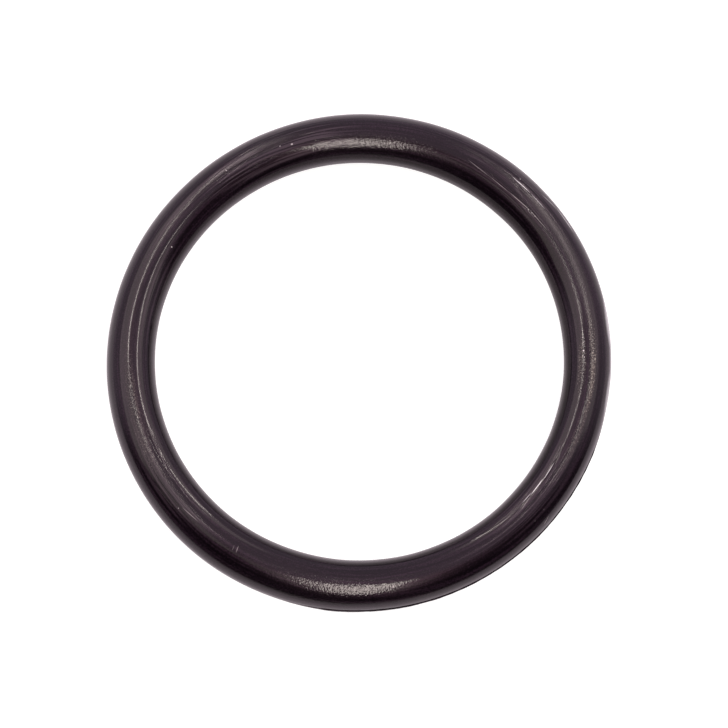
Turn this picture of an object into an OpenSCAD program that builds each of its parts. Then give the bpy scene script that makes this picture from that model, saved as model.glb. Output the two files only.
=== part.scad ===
// Moulded O-ring, 30 mm inside diameter by 3.5 mm section.
// One ring of solid rubber, pressed between two mould halves that part
// at the ring's middle plane. The rubber that creeps into that joint is
// trimmed off, which leaves a fine raised land round the inside and
// round the outside of the ring.
//
// Frame: origin at the centre of the ring, +Z along its axis. The ring
// lies flat, with the parting plane at z = 0.

/* [Ring] */
// Nominal inside diameter, over the round section
inside_d = 30; // [12:0.5:100]
// Diameter of the round section
section_d = 3.5; // [2:0.1:7]

/* [Parting line] */
// Width of the land's trimmed crest, along the ring's axis
land_crest_w = 0.20; // [0.10:0.02:0.30]
// Height of the crest above the round section
land_h = 0.06; // [0.02:0.01:0.10]
// Slope of the land's flanks away from the parting plane, in degrees
land_flank_angle = 45; // [15:5:45]

/* [Hidden] */
$fn = 240;

rubber_black = "#2b2529";
section_r = section_d / 2;
// Distance from the ring's axis to the centre of its section
centre_r = inside_d / 2 + section_r;
// The land starts inside the section, so that its flanks rise out of it
land_root_depth = land_h;

// Half of the land's width at a height over the round section
function land_half_w(height) =
    land_crest_w / 2 + (land_h - height) * tan(land_flank_angle);

// Trimmed flash on the section's side that faces +X
module parting_land() {
    root_x = section_r - land_root_depth;
    crest_x = section_r + land_h;
    root_half_w = land_half_w(-land_root_depth);
    crest_half_w = land_half_w(land_h);
    polygon([
        [root_x, -root_half_w],
        [crest_x, -crest_half_w],
        [crest_x, crest_half_w],
        [root_x, root_half_w]
    ]);
}

// Round section with a land on the outer and on the inner side
module ring_section() {
    circle(r = section_r);
    parting_land();
    rotate(180) parting_land();
}

module o_ring() {
    color(rubber_black)
        rotate_extrude()
            translate([centre_r, 0])
                ring_section();
}

o_ring();
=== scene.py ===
# %% [markdown]
# A moulded rubber O-ring, lying flat on white paper.
# The fixed frame holds the true ring: its size, its place and its section.
# This lesson adds what the mould, the trimming knife and handling leave on it.
# The frame's box comes first, because every size below is worked out from it.

# %% Load the frame and measure it
import math

import bpy
from mathutils import Matrix, Vector


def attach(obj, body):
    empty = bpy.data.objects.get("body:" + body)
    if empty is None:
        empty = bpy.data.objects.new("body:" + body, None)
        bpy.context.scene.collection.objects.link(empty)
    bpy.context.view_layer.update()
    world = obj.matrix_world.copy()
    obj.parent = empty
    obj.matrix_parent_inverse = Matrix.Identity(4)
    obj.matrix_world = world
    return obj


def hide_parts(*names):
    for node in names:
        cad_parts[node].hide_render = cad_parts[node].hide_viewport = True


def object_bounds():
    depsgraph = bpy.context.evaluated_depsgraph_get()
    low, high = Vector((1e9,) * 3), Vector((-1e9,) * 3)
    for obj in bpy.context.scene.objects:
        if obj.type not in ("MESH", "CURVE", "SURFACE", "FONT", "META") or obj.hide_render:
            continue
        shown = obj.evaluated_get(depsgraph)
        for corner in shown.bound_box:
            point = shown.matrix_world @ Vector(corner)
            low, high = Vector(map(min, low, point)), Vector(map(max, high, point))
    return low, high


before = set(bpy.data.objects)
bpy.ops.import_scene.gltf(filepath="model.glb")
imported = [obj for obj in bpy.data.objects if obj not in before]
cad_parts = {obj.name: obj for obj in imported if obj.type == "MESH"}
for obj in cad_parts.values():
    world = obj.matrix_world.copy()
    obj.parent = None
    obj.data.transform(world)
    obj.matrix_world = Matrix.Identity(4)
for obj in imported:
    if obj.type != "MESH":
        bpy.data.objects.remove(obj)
print("fixed nodes", sorted(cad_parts))
frame_low, frame_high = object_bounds()

MM = 0.001
LAND_H = 0.06 * MM
LAND_CREST_W = 0.20 * MM
section_r = frame_high.z
ring_r = frame_high.x - LAND_H - section_r
print("section radius mm", round(section_r / MM, 3), "ring radius mm", round(ring_r / MM, 3))

# %% [markdown]
# The ring is one pressed piece of nitrile rubber with a round section.
# It could start as a torus primitive, but a section swept round an axis is how its mould is cut,
# and the rows of faces then run true round the ring, which the parting line needs.
# So a circle is drawn standing up, beside the axis, and spun through a full turn.

# %% Spin the section round the axis
SECTION_POINTS = 128
RING_STEPS = 640
# The section is fuller in two places by this much, so the circle starts thinner by half of it
SECTION_SWELL = 0.105 * MM
# The pressed rubber came out a little fuller and larger than the drawing says
FULLER = 0.036 * MM
LARGER = 0.012 * MM
WELD = 0.001 * MM


def edit_mode():
    bpy.ops.object.mode_set(mode="EDIT")


def object_mode():
    bpy.ops.object.mode_set(mode="OBJECT")


bpy.ops.object.select_all(action="DESELECT")
bpy.ops.mesh.primitive_circle_add(
    vertices=SECTION_POINTS,
    radius=section_r + FULLER - SECTION_SWELL / 2,
    location=(ring_r + LARGER, 0, 0),
    rotation=(math.pi / 2, 0, 0),
)
ring = bpy.context.object
ring.name = "moulded_ring"
ring.data.name = "moulded_ring"
bpy.ops.object.transform_apply(location=True, rotation=True, scale=True)
edit_mode()
bpy.ops.mesh.select_all(action="SELECT")
bpy.ops.mesh.spin(steps=RING_STEPS, angle=2 * math.pi, center=(0, 0, 0), axis=(0, 0, 1))
bpy.ops.mesh.select_all(action="SELECT")
bpy.ops.mesh.remove_doubles(threshold=WELD)
bpy.ops.mesh.normals_make_consistent(inside=False)
object_mode()
print("spun faces", len(ring.data.polygons))

# %% [markdown]
# Rubber creeps into the joint of the mould, and trimming leaves a fine land there.
# It runs round the outside and the inside of the ring, at half height.
# It could be painted as a line, but it shows in the outline, so it is real shape:
# the rows of faces at half height are inset and lifted in one step.

# %% Raise the parting-line lands
land_root_w = LAND_CREST_W + 2 * LAND_H


def select_faces(wanted):
    """Select the ring's faces whose centre passes the test, and nothing else."""
    for vertex in ring.data.vertices:
        vertex.select = False
    for edge in ring.data.edges:
        edge.select = False
    count = 0
    for face in ring.data.polygons:
        face.select = wanted(face.center)
        count += face.select
    return count


def beside_axis(point):
    return math.hypot(point.x, point.y)


def in_outer_band(centre):
    return abs(centre.z) < land_root_w / 2 and beside_axis(centre) > ring_r


def in_inner_band(centre):
    return abs(centre.z) < land_root_w / 2 and beside_axis(centre) < ring_r


ring.vertex_groups.new(name="parting_lands")
for band in (in_outer_band, in_inner_band):
    picked = select_faces(band)
    edit_mode()
    bpy.ops.mesh.select_mode(type="FACE")
    bpy.ops.mesh.inset(thickness=LAND_H, depth=LAND_H)
    bpy.ops.object.vertex_group_assign()
    object_mode()
    print("land faces", picked)

# %% [markdown]
# A loose rubber ring is never quite round, and storage has squeezed this one flat by a hair.
# Both are a change of size along turned axes, so one resize in edit mode does them: longer along
# one diagonal, shorter along the other, and flatter.
# The turn and the stretch are kept as matrices, because the marks further down have to find
# their places on the pulled ring.

# %% Pull it slightly oval
OVAL = 0.0105
OVAL_DIRECTION = math.radians(45)
SQUEEZED = 0.97
oval_turn = Matrix.Rotation(OVAL_DIRECTION, 3, "Z")
oval_stretch = oval_turn @ Matrix.Diagonal((1 + OVAL, 1 - OVAL, 1)) @ oval_turn.transposed()

edit_mode()
bpy.ops.mesh.select_all(action="SELECT")
bpy.ops.transform.resize(
    value=(1 + OVAL, 1 - OVAL, SQUEEZED),
    orient_type="GLOBAL",
    orient_matrix=oval_turn,
    orient_matrix_type="GLOBAL",
    center_override=(0, 0, 0),
)
object_mode()
print("oval from", round((1 - OVAL) * 100, 2), "to", round((1 + OVAL) * 100, 2), "percent")

# %% [markdown]
# The section isn't quite even: it is fuller in two opposite places than between them. Nor does
# the ring lie quite flat: two opposite quarters stand a little higher than the other two.
# Each fault comes from a weight that rises and falls twice round the ring, and from a Displace
# modifier that pushes the surface by that weight. A weight keeps the change in one number, which
# is easier to read than moved points.

# %% Let the section swell and the ring warp
SWELL_DIRECTION = math.radians(74.7)
WARP = 0.06 * MM
WARP_DIRECTION = math.radians(45)


def weigh(name, weight_at, only=""):
    """Make a vertex group whose weight comes from a function, on all points or on one group's points."""
    group = ring.vertex_groups.new(name=name)
    held_in = ring.vertex_groups[only].index if only else None
    count = 0
    for vertex in ring.data.vertices:
        if held_in is None or any(held.group == held_in for held in vertex.groups):
            group.add([vertex.index], weight_at(vertex.co), "REPLACE")
            count += 1
    print(name, "points", count)


def displace(name, strength, group="", texture=None, mid_level=0.0, direction="NORMAL"):
    """Push the surface evenly or by a texture, along its normals or one axis, and apply it."""
    modifier = ring.modifiers.new(name, "DISPLACE")
    modifier.strength = strength
    modifier.mid_level = mid_level
    modifier.vertex_group = group
    modifier.texture = texture
    modifier.direction = direction
    bpy.context.view_layer.objects.active = ring
    bpy.ops.object.modifier_apply(modifier=name)


def azimuth(point):
    return math.atan2(point.y, point.x)


def twice_round(point, direction):
    """A wave with two crests round the ring, one of them in the given direction: -1 to 1."""
    return math.cos(2 * (azimuth(point) - direction))


weigh("fuller_section", lambda point: (1 + twice_round(point, SWELL_DIRECTION)) / 2)
weigh("warped_up", lambda point: max(0.0, twice_round(point, WARP_DIRECTION)))
weigh("warped_down", lambda point: max(0.0, -twice_round(point, WARP_DIRECTION)))
displace("swell", SECTION_SWELL, group="fuller_section")
displace("warp_up", WARP, group="warped_up", direction="Z")
displace("warp_down", -WARP, group="warped_down", direction="Z")

# %% [markdown]
# The knife takes the land off flush. It stays proud on the near side, towards the right,
# and its edge is ragged there.
# Long soft waves of the mould's wall make the reflections wander.
# The waves and the ragged edge are clouds textures, pushed in along the normals.

# %% Trim the lands and add the mould's waves
PROUD_DIRECTION = math.radians(-60)
PROUD_SPREAD = math.radians(42)
# The way round the ring in which the knife comes down to flush
KNIFE_RUN = math.radians(12)
PROUD = 0.011 * MM
RAGGED_SIZE = 0.6 * MM
RAGGED_HEIGHT = 0.05 * MM
MOULD_WAVE_SIZE = 5 * MM
MOULD_WAVE_HEIGHT = 0.04 * MM
# Edges sharper than this stay sharp, which only the lands' own edges are
SHARP_EDGE = math.radians(35)


def trimmed(point):
    """How far the knife has cut: 0 where the land stays proud, 1 where it is flush."""
    if beside_axis(point) < ring_r:
        return 1.0
    away = abs(math.remainder(azimuth(point) - PROUD_DIRECTION, 2 * math.pi))
    return min(1.0, max(0.0, (away - PROUD_SPREAD) / KNIFE_RUN + 0.5))


def clouds(name, size, depth=2):
    texture = bpy.data.textures.new(name, "CLOUDS")
    texture.noise_scale = size
    texture.noise_depth = depth
    return texture


weigh("trimmed_lands", trimmed, only="parting_lands")
weigh("proud_lands", lambda point: 1 - trimmed(point), only="parting_lands")
displace("trim", -LAND_H, group="trimmed_lands")
displace("flash", PROUD, group="proud_lands")
ragged = clouds("ragged_edge", RAGGED_SIZE)
displace("ragged_edge", RAGGED_HEIGHT, group="proud_lands", texture=ragged, mid_level=0.5)
waves = clouds("mould_waves", MOULD_WAVE_SIZE, depth=1)
displace("mould_waves", MOULD_WAVE_HEIGHT, texture=waves, mid_level=0.5)
bpy.ops.object.shade_smooth_by_angle(angle=SHARP_EDGE)
print("faces", len(ring.data.polygons), "size mm", [round(side / MM, 2) for side in ring.dimensions])


# %% [markdown]
# Materials are built from nodes, so one small function adds a node and wires it.
# Colours are written as they look on a screen, and one function turns them to linear light.

# %% Helpers for colours and nodes
def linear(colour):
    """Turn an sRGB hex colour into the linear one that shaders use."""
    parts = [int(colour[i:i + 2], 16) / 255 for i in (1, 3, 5)]
    parts = [p / 12.92 if p <= 0.04045 else ((p + 0.055) / 1.055) ** 2.4 for p in parts]
    return (*parts, 1.0)


def add_node(tree, kind, inputs=None, **settings):
    """Add a node, apply its settings, and fill or link its inputs."""
    made = tree.nodes.new(kind)
    for name, value in settings.items():
        setattr(made, name, value)
    for socket, value in (inputs or {}).items():
        if isinstance(value, bpy.types.NodeSocket):
            tree.links.new(value, made.inputs[socket])
        else:
            made.inputs[socket].default_value = value
    return made


# %% [markdown]
# Nitrile rubber filled with carbon black is near black, with a faint brown-purple cast.
# It comes out of a polished steel mould with a satin gloss, a fine grain where the steel is worn,
# and long flow lines where the rubber crept round the cavity.
# All patterns read Object coordinates, which are turned into the ring's own first: the way round
# the ring, how far out of the section's centre a point is, and how high.
# The oval pull is undone before that, so that every pattern runs true round the ring.

# %% Find the ring's own coordinates
def ring_coordinates(tree, place):
    """Undo the oval pull, then return the way round the ring and the section's two parts."""
    place = add_node(
        tree, "ShaderNodeVectorRotate", {"Vector": place, "Angle": -OVAL_DIRECTION},
        rotation_type="Z_AXIS",
    ).outputs[0]
    place = add_node(
        tree, "ShaderNodeVectorMath", {0: place, 1: (1 + OVAL, 1 - OVAL, SQUEEZED)},
        operation="DIVIDE",
    ).outputs[0]
    place = add_node(
        tree, "ShaderNodeVectorRotate", {"Vector": place, "Angle": OVAL_DIRECTION},
        rotation_type="Z_AXIS",
    ).outputs[0]
    flat = add_node(
        tree, "ShaderNodeVectorMath", {0: place, 1: (1, 1, 0)}, operation="MULTIPLY",
    ).outputs[0]
    reach = add_node(tree, "ShaderNodeVectorMath", {0: flat}, operation="LENGTH").outputs["Value"]
    around = add_node(tree, "ShaderNodeVectorMath", {0: flat}, operation="NORMALIZE").outputs[0]
    height = add_node(tree, "ShaderNodeSeparateXYZ", {0: place}).outputs["Z"]
    outward = add_node(tree, "ShaderNodeMath", {0: reach, 1: ring_r}, operation="SUBTRACT").outputs[0]
    return around, outward, height


# %% [markdown]
# The flow lines are noise that is stretched along the ring. An angle would jump where the ring
# closes, so the noise reads the way round as a direction, which has a cosine and a sine and
# doesn't jump. With the section's two parts that makes four numbers, so the noise has four
# dimensions and no seam anywhere. A groove is drawn where a long noise passes its middle value.

# %% Draw lines along the ring
GROOVE_WIDTH = 0.6 * MM
GROOVE_LENGTH = 12 * MM
# How far the noise may be from its middle value inside a groove
GROOVE_SPREAD = 0.045


def lines_along_ring(tree, coordinates, length, width, detail=2.0):
    """Noise that is drawn out along the ring: each streak about length by width."""
    around, outward, height = coordinates
    drawn = add_node(
        tree, "ShaderNodeVectorMath", {0: around, "Scale": ring_r / length}, operation="SCALE",
    ).outputs[0]
    across = add_node(tree, "ShaderNodeMath", {0: outward, 1: 1 / width}, operation="MULTIPLY").outputs[0]
    up = add_node(tree, "ShaderNodeMath", {0: height, 1: 1 / width}, operation="MULTIPLY").outputs[0]
    lift = add_node(tree, "ShaderNodeCombineXYZ", {2: up}).outputs[0]
    vector = add_node(tree, "ShaderNodeVectorMath", {0: drawn, 1: lift}, operation="ADD").outputs[0]
    noise = add_node(
        tree, "ShaderNodeTexNoise",
        {"Vector": vector, "W": across, "Scale": 1.0, "Detail": detail, "Roughness": 0.5},
        noise_dimensions="4D",
    )
    return noise.outputs[0]


def groove_mask(tree, coordinates):
    """1 on the thin wandering grooves: the contour of a long noise, where it passes its middle value."""
    long_noise = lines_along_ring(tree, coordinates, GROOVE_LENGTH, GROOVE_WIDTH, detail=3.0)
    away = add_node(tree, "ShaderNodeMath", {0: long_noise, 1: 0.5}, operation="SUBTRACT").outputs[0]
    away = add_node(tree, "ShaderNodeMath", {0: away}, operation="ABSOLUTE").outputs[0]
    return add_node(
        tree, "ShaderNodeMapRange", {"Value": away, "From Min": GROOVE_SPREAD, "From Max": 0.0},
        interpolation_type="SMOOTHSTEP",
    ).outputs[0]


# %% [markdown]
# The mould isn't equally fine all round: its steel is worn in places and dull in others, and the
# rubber's flow has left grooves. These are long soft zones. A painted image could hold them, but
# it would have to be painted anew for a ring of another size, so they are listed instead.
# A zone has a direction round the ring and an angle round the section, in degrees, then its
# length along the ring and its width across it, in millimetres, and its strength.

# %% List the zones that the mould leaves
# Where the mould's steel is worn and the grain is coarse
WORN_STEEL = [
    (88, 116, 15.5, 3.4, 1.6), (264, 72, 13, 3.1, 1.4), (-2, 84, 9, 0.8, 1.7), (22, 86, 9, 1.6, 0.8),
    (-3, 109, 6, 0.8, 0.9), (-22, 86, 7, 0.9, 0.7), (192, 86, 7, 0.8, 1.3), (203, 88, 6, 1.2, 0.7),
    (58, 82, 9, 2.6, 0.35), (120, 92, 9, 3.0, 0.35), (-45, 82, 9, 2.2, 0.4), (134.5, 70, 5, 0.9, 0.7),
]
# Painted glints: where the highlight bands turn grainy, pale olive flecks are painted into the colour
GLINT_ZONES = [
    (-3, 84.5, 9, 0.6, 0.7), (-3, 110, 5, 0.7, 0.6), (-22, 88, 6, 0.7, 0.25), (192, 87, 8, 0.8, 0.3),
    (203, 90, 6, 1.4, 0.2),
]
# Where the steel is dull, so that a sharp highlight spreads into a satin band
DULL_STEEL = [
    (29, 83, 15, 2.0, 0.9), (117, 77, 9, 1.1, 0.8), (147, 78, 9, 1.4, 0.4), (-24, 85, 8, 0.8, 0.3),
    (218, 83, 12, 1.3, 0.8), (264, 72, 14, 3.2, 0.3), (88, 116, 15, 3.2, 0.2),
]
# Where the rubber's flow has left grooves
FLOW_GROOVES = [
    (113, 93, 13, 2.9, 2.2), (50, 80, 14, 2.7, 1.0), (-42, 98, 12, 3.0, 0.7), (214, 95, 10, 3.0, 0.8),
    (164, 125, 10, 1.6, 0.5), (143, 70, 8, 1.8, 0.5),
]
print("zones", len(WORN_STEEL + GLINT_ZONES + DULL_STEEL + FLOW_GROOVES))

# %% [markdown]
# Handling leaves small marks: dust, a few scratches, and pale film where the flash was torn away.
# Bright specks, streaks and thin near-white threads on the shining lines are painted highlights,
# kept in the same lists. They are listed in the same way, with a lean in degrees before the
# strength, because a scratch doesn't follow the ring.

# %% List the marks of handling, and the painted highlights
# Dust specks, and painted glints: the clusters near 0 and 40 degrees round the ring are bright specks
# painted on the shining lines
DUST_AND_GLINTS = [
    (108.8, 93.6, 0.17, 0.11, 0, 0.75), (111.8, 88.5, 0.12, 0.08, 0, 0.5), (126.5, 79, 0.07, 0.16, 10, 0.6),
    (150.5, 113.7, 0.08, 0.11, 0, 0.9), (48.8, 62.0, 0.09, 0.08, 0, 0.8), (221.2, 72.6, 0.08, 0.10, 0, 0.4),
    (319.2, 62.2, 0.08, 0.08, 0, 0.1), (315.8, 59.0, 0.08, 0.08, 0, 0.12), (6.2, 107.3, 0.07, 0.06, 0, 0.5),
    (41.7, 103.8, 0.12, 0.07, 0, 0.5), (40.5, 103.0, 0.10, 0.06, 0, 0.4), (39.3, 102.2, 0.12, 0.07, 0, 0.4),
    (4.4, 108.3, 0.10, 0.07, 0, 0.8), (3.1, 108.0, 0.08, 0.07, 0, 0.9), (2.2, 109.4, 0.07, 0.06, 0, 0.5),
    (0.9, 107.9, 0.15, 0.12, 0, 1.0), (-0.4, 109.9, 0.07, 0.06, 0, 0.6), (-0.8, 106.4, 0.10, 0.07, 0, 0.9),
    (-1.6, 104.8, 0.06, 0.06, 0, 0.6), (-2.9, 108.8, 0.07, 0.06, 0, 0.5), (-5.0, 110.2, 0.06, 0.06, 0, 0.4),
]
# Scratches, and painted highlights: the long thin streaks from 38 to 58 degrees round the ring paint a
# bright line
SCRATCHES_AND_HIGHLIGHTS = [
    (224.2, 82.7, 1.5, 0.05, 4, 0.45), (238.6, 88, 0.07, 0.55, 12, 0.35), (237.6, 86, 0.05, 0.45, 12, 0.2),
    (317.7, 32, 0.5, 0.06, 20, 0.4), (318.6, 36, 0.4, 0.05, 25, 0.3), (278, 74.2, 0.30, 0.14, 30, 0.4),
    (317.5, 108, 1.2, 0.06, 8, 0.4), (272, 84, 0.35, 0.05, 60, 0.3), (269.8, 86, 0.3, 0.05, 60, 0.3),
    (58.5, 102, 2.2, 0.05, -7, 0.35), (52, 106, 2.0, 0.05, -2, 0.4), (45, 104.8, 2.2, 0.06, 3, 0.5),
    (38, 101.5, 2.2, 0.06, 2, 0.4),
]
# Thin near-white lines, painted in as highlight threads on the shining lines
HIGHLIGHT_THREADS = [
    (47.6, 72.4, 1.8, 0.06, 0, 1.0), (41.8, 72.3, 1.6, 0.05, 0, 0.6), (40.0, 43.8, 1.8, 0.07, 11, 0.4),
    (34.4, 37.4, 2.2, 0.10, 0, 0.7), (327.5, 111.0, 1.5, 0.06, 0, 0.7), (322.5, 112.5, 1.6, 0.07, 0, 1.0),
    (318.6, 115.0, 1.0, 0.05, 0, 0.6),
]
FLASH_FILM = [(7.5, 13, 4.6, 1.6, 0, 0.9), (-8, 12, 4.4, 1.3, 0, 0.7), (0, 10, 5.0, 1.1, 0, 0.8)]
print("marks", len(DUST_AND_GLINTS + SCRATCHES_AND_HIGHLIGHTS + HIGHLIGHT_THREADS + FLASH_FILM))

# %% [markdown]
# A mark is small, so it is a flat ellipse. The nearest place on the mesh gives its centre, and
# the surface there gives its axes, so it sits right on the skin. A Mapping node then turns Object
# coordinates into the ellipse's own, in which its outline is one unit from its centre.
# A zone is too long to be flat, so its two measures are angles, and it bends with the ring.
# All marks of one kind share one mask, in which the strongest wins.

# %% Lay the marks and zones on the ring
# How deep a mark reaches below the surface; it only has to be deeper than the surface's unevenness
MARK_DEPTH = 0.4 * MM
# A mark or zone has full strength inside its core and none past its rim, as shares of its ellipse
MARK_CORE = 0.6
ZONE_CORE = 0.3
ELLIPSE_RIM = 1.1


def surface_axes(direction, section, lean):
    """Find a place on the ring, and the directions along it, across it and out of it."""
    turn = Matrix.Rotation(math.radians(direction), 3, "Z")
    angle = math.radians(section)
    out = turn @ Vector((math.cos(angle), 0, math.sin(angle)))
    guess = oval_stretch @ turn @ Vector((ring_r, 0, 0)) + out * section_r
    spot, normal = ring.closest_point_on_mesh(guess)[1:3]
    along = turn @ Vector((0, 1, 0))
    along = (along - normal * along.dot(normal)).normalized()
    axes = Matrix((along, normal.cross(along), normal)).transposed()
    return spot, axes @ Matrix.Rotation(math.radians(lean), 3, "Z")


def with_ellipse(tree, total, vector, core, strength):
    """Add an ellipse to a mask: full strength inside its core, none past its rim; the larger wins."""
    away = add_node(tree, "ShaderNodeVectorMath", {0: vector}, operation="LENGTH").outputs["Value"]
    ellipse = add_node(
        tree, "ShaderNodeMapRange",
        {"Value": away, "From Min": ELLIPSE_RIM, "From Max": core, "To Max": strength},
    ).outputs[0]
    return add_node(tree, "ShaderNodeMath", {0: total, 1: ellipse}, operation="MAXIMUM").outputs[0]


def marks_mask(tree, place, marks):
    """The strength on each listed mark: a small flat ellipse laid on the surface."""
    total = 0.0
    for direction, section, length, width, lean, strength in marks:
        spot, axes = surface_axes(direction, section, lean)
        laid = add_node(
            tree, "ShaderNodeMapping",
            {
                "Vector": place,
                "Location": spot,
                "Rotation": axes.to_euler(),
                "Scale": (length * MM / 2, width * MM / 2, MARK_DEPTH),
            },
            vector_type="TEXTURE",
        ).outputs[0]
        total = with_ellipse(tree, total, laid, MARK_CORE, strength)
    return total


def zones_mask(tree, coordinates, zones):
    """The strength in each listed zone: a long soft ellipse that bends with the ring and its section."""
    around, outward, height = coordinates
    rise = add_node(tree, "ShaderNodeMath", {0: height, 1: outward}, operation="ARCTAN2").outputs[0]
    total = 0.0
    for direction, section, length, width, strength in zones:
        turned = add_node(
            tree, "ShaderNodeVectorRotate", {"Vector": around, "Angle": -math.radians(direction)},
            rotation_type="Z_AXIS",
        ).outputs[0]
        parts = add_node(tree, "ShaderNodeSeparateXYZ", {0: turned}).outputs
        along = add_node(
            tree, "ShaderNodeMath", {0: parts["Y"], 1: parts["X"]}, operation="ARCTAN2",
        ).outputs[0]
        across = add_node(
            tree, "ShaderNodeMath", {0: rise, 1: math.radians(section)}, operation="SUBTRACT",
        ).outputs[0]
        laid = add_node(tree, "ShaderNodeCombineXYZ", {0: along, 1: across}).outputs[0]
        # The angles that half of the zone takes up, round the ring and round the section
        reach = (length * MM / 2 / ring_r, width * MM / 2 / section_r, 1)
        laid = add_node(tree, "ShaderNodeVectorMath", {0: laid, 1: reach}, operation="DIVIDE").outputs[0]
        total = with_ellipse(tree, total, laid, ZONE_CORE, strength)
    return total


# %% [markdown]
# The rubber is black all through. Its colour comes from the wax that blooms to its skin: a thin
# dark violet film nearly everywhere, and paler along flow lines. Pale olive flecks and bright specks
# are painted glints where the highlight bands turn grainy. One flat colour would look like paint, so
# each layer is mixed over the one before by its own mask.

# %% Colour the rubber
RUBBER_BLACK = "#030103"
WAX_BLOOM = "#271b26"
# Painted glint colour: pale olive flecks on the highlight bands
GLINT_OLIVE = "#7e776e"
WAX_STREAK = "#372f35"
# Painted glint colour: the brightest specks on the highlight bands
GLINT_BRIGHT = "#d2cabe"
# Painted highlight colour for the thin threads
HIGHLIGHT_THREAD_PALE = "#dedce0"
# Dust, and painted glints on the shining lines
DUST_AND_GLINT_GREY = "#d8d2d4"
# Scratches, and painted highlight streaks
SCUFF_AND_HIGHLIGHT_GREY = "#b4acae"
FILM_PALE = "#ccced2"
BLOOM_GRAIN = 0.1 * MM
# Noise values between which each layer of wax, and the painted glints, comes up from nothing to full
BLOOM_NOISE = (0.47, 0.66)
STREAK_NOISE = (0.5, 0.62)
GLINT_NOISE = (0.62, 0.7)


def rubber_colour(tree, place, coordinates, flow, grooved):
    """Mix the wax and the painted glints, then the marks and the painted highlights, over the black rubber.
    """
    glint_share = zones_mask(tree, coordinates, GLINT_ZONES)
    fine = add_node(
        tree, "ShaderNodeTexNoise",
        {"Vector": place, "Scale": 1 / BLOOM_GRAIN, "Detail": 2.0, "Roughness": 0.7},
    ).outputs[0]
    bloom = add_node(tree, "ShaderNodeMix", {0: 0.5, 2: fine, 3: flow}).outputs[0]
    layers = []
    for noise, limits, most in (
        (bloom, BLOOM_NOISE, 1.0),
        (flow, STREAK_NOISE, grooved),
        (fine, GLINT_NOISE, glint_share),
    ):
        layers.append(add_node(
            tree, "ShaderNodeMapRange",
            {"Value": noise, "From Min": limits[0], "From Max": limits[1], "To Max": most},
        ).outputs[0])
    patchy, streaks, glints = layers
    # In the glint zones the bloom's patches turn into painted olive glints
    bloom_and_glint_tone = add_node(
        tree, "ShaderNodeMix", {"Factor": glint_share, "A": linear(WAX_BLOOM), "B": linear(GLINT_OLIVE)},
        data_type="RGBA",
    ).outputs["Result"]
    tones = [(patchy, bloom_and_glint_tone), (streaks, linear(WAX_STREAK)), (glints, linear(GLINT_BRIGHT))]
    # The mark lists hold painted highlights beside the real film, scratches and dust
    for marks, tone in (
        (FLASH_FILM, FILM_PALE),
        (SCRATCHES_AND_HIGHLIGHTS, SCUFF_AND_HIGHLIGHT_GREY),
        (HIGHLIGHT_THREADS, HIGHLIGHT_THREAD_PALE),
        (DUST_AND_GLINTS, DUST_AND_GLINT_GREY),
    ):
        tones.append((marks_mask(tree, place, marks), linear(tone)))
    colour = linear(RUBBER_BLACK)
    for mask, tone in tones:
        colour = add_node(
            tree, "ShaderNodeMix", {"Factor": mask, "A": colour, "B": tone}, data_type="RGBA",
        ).outputs["Result"]
    return colour


# %% [markdown]
# The skin copies the mould's steel: its grain, its soft waves, and the grooves that the rubber's
# flow has left. They are far finer than the faces of the mesh, so they are bump.
# Heights are in metres and are added up first, so that one Bump node serves both gloss layers.

# %% Raise the grain and the flow lines
# Grain needs a step of more than a tenth of a millimetre to show here; the real one is finer still
GRAIN = 0.14 * MM
GRAIN_HEIGHT = 0.013 * MM
# Share of the grain left where the steel is still polished
POLISHED = 0.07
WAVE_WIDTH = 0.7 * MM
WAVE_LENGTH = 20 * MM
WAVE_HEIGHT = 0.0026 * MM
FLOW_HEIGHT = 0.0006 * MM
GROOVE_DEPTH = 0.011 * MM


def rubber_relief(tree, place, coordinates, flow, grooved, worn):
    """Add up the grain, the flow lines, the waves and the grooves."""
    grain = add_node(
        tree, "ShaderNodeTexNoise",
        {"Vector": place, "Scale": 1 / GRAIN, "Detail": 1.0, "Roughness": 0.6},
    ).outputs[0]
    grain_height = add_node(
        tree, "ShaderNodeMapRange",
        {"Value": worn, "To Min": POLISHED * GRAIN_HEIGHT, "To Max": GRAIN_HEIGHT}, clamp=False,
    ).outputs[0]
    wave = lines_along_ring(tree, coordinates, WAVE_LENGTH, WAVE_WIDTH, detail=1.0)
    groove = add_node(
        tree, "ShaderNodeMath", {0: groove_mask(tree, coordinates), 1: grooved}, operation="MULTIPLY",
    ).outputs[0]
    relief = 0.0
    for pattern, height in (
        (grain, grain_height),
        (flow, FLOW_HEIGHT),
        (wave, WAVE_HEIGHT),
        (groove, -GROOVE_DEPTH),
    ):
        relief = add_node(
            tree, "ShaderNodeMath", {0: pattern, 1: height, 2: relief}, operation="MULTIPLY_ADD",
        ).outputs[0]
    return relief


# %% [markdown]
# The rubber's shader is one Principled node. Pressed rubber has two gloss layers: the carbon-filled
# rubber itself scatters widely, and the thin wax that blooms to its skin gives the sharp highlights.
# The wax is the coat. Its index is that of paraffin wax and nitrile rubber, about 1.5.
# Worn steel leaves the rubber a little rougher, and dull steel spreads the wax's highlight.

# %% Make the moulded nitrile rubber
FLOW_WIDTH = 0.16 * MM
FLOW_LENGTH = 9 * MM
RUBBER_INDEX = 1.52
RUBBER_SPECULAR = 0.13
RUBBER_CAST = "#ffd0f0"
WAX_COAT = 0.65
# From polished to worn steel, and from polished to dull steel
RUBBER_ROUGHNESS = (0.31, 0.36)
WAX_ROUGHNESS = (0.09, 0.3)


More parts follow.
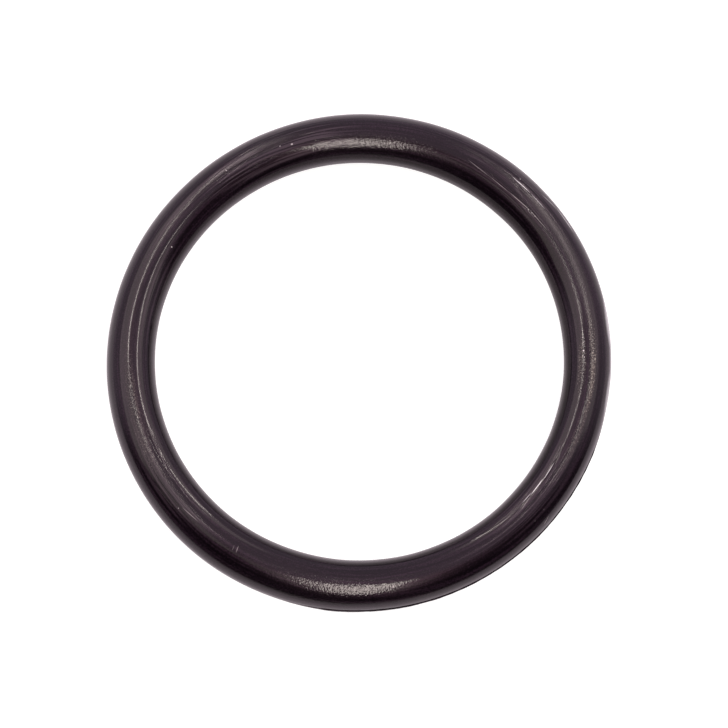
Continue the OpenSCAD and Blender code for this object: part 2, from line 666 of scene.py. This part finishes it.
def nitrile_rubber():
    material = bpy.data.materials.new("moulded_nitrile_rubber")
    material.use_nodes = True
    tree = material.node_tree
    shader = tree.nodes["Principled BSDF"]
    shader.inputs["IOR"].default_value = RUBBER_INDEX
    shader.inputs["Specular IOR Level"].default_value = RUBBER_SPECULAR
    shader.inputs["Specular Tint"].default_value = linear(RUBBER_CAST)
    shader.inputs["Coat Weight"].default_value = WAX_COAT

    place = add_node(tree, "ShaderNodeTexCoord").outputs["Object"]
    coordinates = ring_coordinates(tree, place)
    flow = lines_along_ring(tree, coordinates, FLOW_LENGTH, FLOW_WIDTH)
    grooved = zones_mask(tree, coordinates, FLOW_GROOVES)
    worn = zones_mask(tree, coordinates, WORN_STEEL)
    dull = zones_mask(tree, coordinates, DULL_STEEL)
    colour = rubber_colour(tree, place, coordinates, flow, grooved)
    tree.links.new(colour, shader.inputs["Base Color"])
    relief = rubber_relief(tree, place, coordinates, flow, grooved, worn)
    bump = add_node(tree, "ShaderNodeBump", {"Height": relief, "Distance": 1.0, "Strength": 1.0})
    for layer in ("Normal", "Coat Normal"):
        tree.links.new(bump.outputs[0], shader.inputs[layer])
    for layer, mask, limits in (
        ("Roughness", worn, RUBBER_ROUGHNESS),
        ("Coat Roughness", dull, WAX_ROUGHNESS),
    ):
        rough = add_node(
            tree, "ShaderNodeMapRange", {"Value": mask, "To Min": limits[0], "To Max": limits[1]},
        ).outputs[0]
        tree.links.new(rough, shader.inputs[layer])
    print("rubber nodes", len(tree.nodes))
    return material


ring.data.materials.append(nitrile_rubber())
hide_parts("o_ring")
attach(ring, "root")

# %% [markdown]
# The ring is seen nearly straight from above, tipped a little towards the near side, so that it
# stays almost a circle. A long lens from a hand's length away keeps the perspective weak.
# The camera's place is worked out from its distance, its tilt and the direction it tips to,
# because these can be changed one by one. Its turn comes from where its right, its top and its
# back point.

# %% Camera
CAMERA_DISTANCE = 184.25 * MM
CAMERA_TILT = math.radians(12.59)
CAMERA_AZIMUTH = math.radians(-106.9)
LENS_MM = 124.37
SENSOR_MM = 36
AIM = Vector((0.248, -0.450, 0)) * MM

camera_data = bpy.data.cameras.new("camera")
camera_data.lens = LENS_MM
camera_data.sensor_width = SENSOR_MM
camera_data.clip_start = 10 * MM
camera = bpy.data.objects.new("camera", camera_data)
bpy.context.scene.collection.objects.link(camera)
spot = Vector((
    math.sin(CAMERA_TILT) * math.cos(CAMERA_AZIMUTH),
    math.sin(CAMERA_TILT) * math.sin(CAMERA_AZIMUTH),
    math.cos(CAMERA_TILT),
)) * CAMERA_DISTANCE
camera.location = spot + AIM
forward = (-spot).normalized()
right = forward.cross(Vector((0, 1, 0))).normalized()
upward = right.cross(forward)
camera.rotation_euler = Matrix((right, upward, -forward)).transposed().to_euler()
bpy.context.scene.camera = camera
print("camera at mm", [round(part / MM, 1) for part in camera.location])

# %% [markdown]
# The floor is plain white paper, and the ring's underside mirrors it.
# In that reflection the paper's glow has painted shade: it is painted darker towards the viewer's side,
# in the hole and close beside the ring.
# Each is a brightness that changes with the place on the paper, and the darker one is taken.

# %% Paint shade into the glow that the ring mirrors
PAPER_MIRRORED = 0.52
# The mirrored paper darkens along Y, from the far edge of this stretch to the near one
FAR_EDGE = -20 * MM
NEAR_EDGE = -60 * MM
# Below zero, so that the paper is black some way before the near edge
NEAR_MIRRORED = -0.2
# Painted shade in the glow: a dark pool in the hole, round the centre below
HOLE_MIRRORED = 0.03
HOLE_CENTRE = (2.6 * MM, 2.0 * MM, 0)
HOLE_DARK_R = 6.8 * MM
HOLE_BRIGHT_R = 13 * MM
CONTACT_SHADE = 0.55
SHADE_CENTRE = (0.1 * MM, 0.45 * MM, 0)
# Distances from the ring's centre line, on the paper
SHADE_FULL = 2.0 * MM
SHADE_END = 3.3 * MM


def paper_glow_with_painted_shade(tree):
    """How bright the ring sees the paper's glow, with shade painted in from place to place."""
    place = add_node(tree, "ShaderNodeTexCoord").outputs["Object"]
    depth = add_node(tree, "ShaderNodeSeparateXYZ", {0: place}).outputs["Y"]
    from_centre = add_node(
        tree, "ShaderNodeVectorMath", {0: place, 1: HOLE_CENTRE}, operation="DISTANCE",
    ).outputs["Value"]
    paper = PAPER_MIRRORED
    for where, low, high, darkest in (
        (depth, NEAR_EDGE, FAR_EDGE, NEAR_MIRRORED),
        (from_centre, HOLE_DARK_R, HOLE_BRIGHT_R, HOLE_MIRRORED),
    ):
        fall = add_node(
            tree, "ShaderNodeMapRange",
            {
                "Value": where,
                "From Min": low,
                "From Max": high,
                "To Min": darkest,
                "To Max": PAPER_MIRRORED,
            },
            interpolation_type="SMOOTHSTEP",
        ).outputs[0]
        paper = add_node(tree, "ShaderNodeMath", {0: paper, 1: fall}, operation="MINIMUM").outputs[0]
    out = add_node(
        tree, "ShaderNodeVectorMath", {0: place, 1: SHADE_CENTRE}, operation="DISTANCE",
    ).outputs["Value"]
    beside = add_node(tree, "ShaderNodeMath", {0: out, 1: ring_r}, operation="SUBTRACT").outputs[0]
    beside = add_node(tree, "ShaderNodeMath", {0: beside}, operation="ABSOLUTE").outputs[0]
    contact = add_node(
        tree, "ShaderNodeMapRange",
        {"Value": beside, "From Min": SHADE_FULL, "From Max": SHADE_END, "To Min": CONTACT_SHADE},
    ).outputs[0]
    return add_node(tree, "ShaderNodeMath", {0: paper, 1: contact}, operation="MULTIPLY").outputs[0]


# %% [markdown]
# The paper itself is matt and light grey, so that the ring's shadow shows on it, and it glows
# the rest of the way to white. A paper that glowed for all would light the ring too strongly
# from below, so the glow has one strength for the camera and the dimmer one above for
# reflections. The Light Path node tells the two apart.

# %% Floor
FLOOR_SIZE = 1.2
WHITE = (1, 1, 1, 1)
PAPER_GREY = "#a8a8a8"
PAPER_ROUGHNESS = 0.9
PAPER_SEEN = 0.85
PAPER_MIRRORED_TINT = "#ffedfd"


def white_paper():
    material = bpy.data.materials.new("white_paper")
    material.use_nodes = True
    tree = material.node_tree
    shader = tree.nodes["Principled BSDF"]
    shader.inputs["Base Color"].default_value = linear(PAPER_GREY)
    shader.inputs["Roughness"].default_value = PAPER_ROUGHNESS
    rays = add_node(tree, "ShaderNodeLightPath").outputs
    seen = rays["Is Camera Ray"]
    tint = add_node(
        tree, "ShaderNodeMix", {"Factor": seen, "A": linear(PAPER_MIRRORED_TINT), "B": WHITE},
        data_type="RGBA",
    )
    tree.links.new(tint.outputs["Result"], shader.inputs["Emission Color"])
    mirrored = add_node(
        tree, "ShaderNodeMath", {0: rays["Is Glossy Ray"], 1: paper_glow_with_painted_shade(tree)},
        operation="MULTIPLY",
    ).outputs[0]
    strength = add_node(
        tree, "ShaderNodeMath", {0: seen, 1: PAPER_SEEN, 2: mirrored}, operation="MULTIPLY_ADD",
    )
    tree.links.new(strength.outputs[0], shader.inputs["Emission Strength"])
    return material


bpy.ops.object.select_all(action="DESELECT")
floor_z = min(v.co.z for v in ring.data.vertices)
bpy.ops.mesh.primitive_plane_add(size=FLOOR_SIZE, location=(0, 0, floor_z))
floor = bpy.context.object
floor.name = "floor"
floor.data.materials.append(white_paper())
print("paper at height mm", round(floor_z / MM, 2))

# %% [markdown]
# The room is white behind the ring and dark on the viewer's side. A glossy black ring shows
# little but its room, so the room's two halves decide where the ring looks grey and where black.
# The camera itself sees plain white all round.

# %% World
ROOM_MIRRORED_TINT = "#ffecff"
# How far a direction points back, from 1 straight behind the ring to -1 at the viewer
DARK_BELOW = -0.3
WHITE_ABOVE = 0.12
DARK_STRENGTH = 0.03
WHITE_STRENGTH = 0.7


def studio_world():
    world = bpy.data.worlds.new("studio")
    bpy.context.scene.world = world
    world.use_nodes = True
    tree = world.node_tree
    background = tree.nodes["Background"]
    direction = add_node(tree, "ShaderNodeTexCoord").outputs["Generated"]
    backward = add_node(tree, "ShaderNodeSeparateXYZ", {0: direction}).outputs["Y"]
    room = add_node(
        tree, "ShaderNodeMapRange",
        {
            "Value": backward,
            "From Min": DARK_BELOW,
            "From Max": WHITE_ABOVE,
            "To Min": DARK_STRENGTH,
            "To Max": WHITE_STRENGTH,
        },
        interpolation_type="SMOOTHSTEP",
    ).outputs[0]
    seen = add_node(tree, "ShaderNodeLightPath").outputs["Is Camera Ray"]
    strength = add_node(tree, "ShaderNodeMix", {0: seen, 2: room, 3: 1.0}).outputs[0]
    tint = add_node(
        tree, "ShaderNodeMix", {"Factor": seen, "A": linear(ROOM_MIRRORED_TINT), "B": WHITE},
        data_type="RGBA",
    ).outputs["Result"]
    tree.links.new(strength, background.inputs["Strength"])
    tree.links.new(tint, background.inputs["Color"])
    print("world nodes", len(tree.nodes))


studio_world()

# %% [markdown]
# Two bent light tubes hang at the left and the right and draw the fine bright lines.
# A broad dim panel beside each gives the grey bands next to the lines.
# A long softbox hangs overhead on the viewer's side and makes the two grainy patches, and a dim
# one on each side of it lets them fade out. All are area lamps that face down, and their places
# are in ring radii, so that they follow the ring. An area lamp's power spreads over its area, so
# each is given as a brightness instead, and its power is worked out from that.

# %% Lamps
LAMP_WHITE = "#fff5ec"
TUBE_HEIGHT = 6.8
TUBE_WIDTH = 0.15
OVERHEAD_HEIGHT = 8.5
LEFT_TUBE = [(-0.5, 0.7), (-1.6, 0.8), (-2.6, 1.9), (-2.8, 3.0), (-2.7, 4.8), (-2.9, 7.5), (-3.5, 10.6)]
RIGHT_TUBE = [(2.6, 1.4), (3.0, 2.0), (4.2, 4.4), (5.7, 8.3)]


def lamp(name, start, end, width, brightness, height):
    """A level strip lamp that faces down, from start to end at a height."""
    start, end = Vector(start) * ring_r, Vector(end) * ring_r
    along = end - start
    data = bpy.data.lights.new(name, "AREA")
    data.shape = "RECTANGLE"
    data.size = along.length
    data.size_y = width * ring_r
    data.energy = brightness * math.pi * data.size * data.size_y
    data.color = linear(LAMP_WHITE)[:3]
    made = bpy.data.objects.new(name, data)
    made.location = ((start.x + end.x) / 2, (start.y + end.y) / 2, height * ring_r)
    made.rotation_euler = (0, 0, math.atan2(along.y, along.x))
    made.visible_camera = False
    bpy.context.scene.collection.objects.link(made)


# The right tube glows less at its near end
lamp("right_tube_end", (1.1, 0.9), RIGHT_TUBE[0], TUBE_WIDTH, 18, TUBE_HEIGHT)
for name, path, brightness in (("left_tube", LEFT_TUBE, 30), ("right_tube", RIGHT_TUBE, 36)):
    for number, (start, end) in enumerate(zip(path, path[1:])):
        lamp(f"{name}_{number}", start, end, TUBE_WIDTH, brightness, TUBE_HEIGHT)
# A panel's light fades towards its edges, so each is three lamps of growing width in one place
for number, share in enumerate((0.7, 1.0, 1.3)):
    lamp(f"left_panel_{number}", (-6.0, -2.6), (-6.0, 10), 6.2 * share, 1.05, TUBE_HEIGHT)
    lamp(f"right_panel_{number}", (5.3, -0.2), (6.4, 9), 4.8 * share, 0.95, TUBE_HEIGHT)
lamp("overhead", (0.8, -9.1), (0.8, -1.9), 1.2, 20, OVERHEAD_HEIGHT)
lamp("overhead_left", (-1.3, -7.0), (-1.3, -2.2), 2.2, 0.6, OVERHEAD_HEIGHT)
lamp("overhead_side", (2.3, -8.6), (2.3, -4.2), 1.5, 0.5, OVERHEAD_HEIGHT)
print("lamps", len(bpy.data.lights))

# %% [markdown]
# The Standard view shows each colour as it is written, where a filmic view would soften the
# whites to grey.

# %% View
bpy.context.scene.view_settings.view_transform = "Standard"
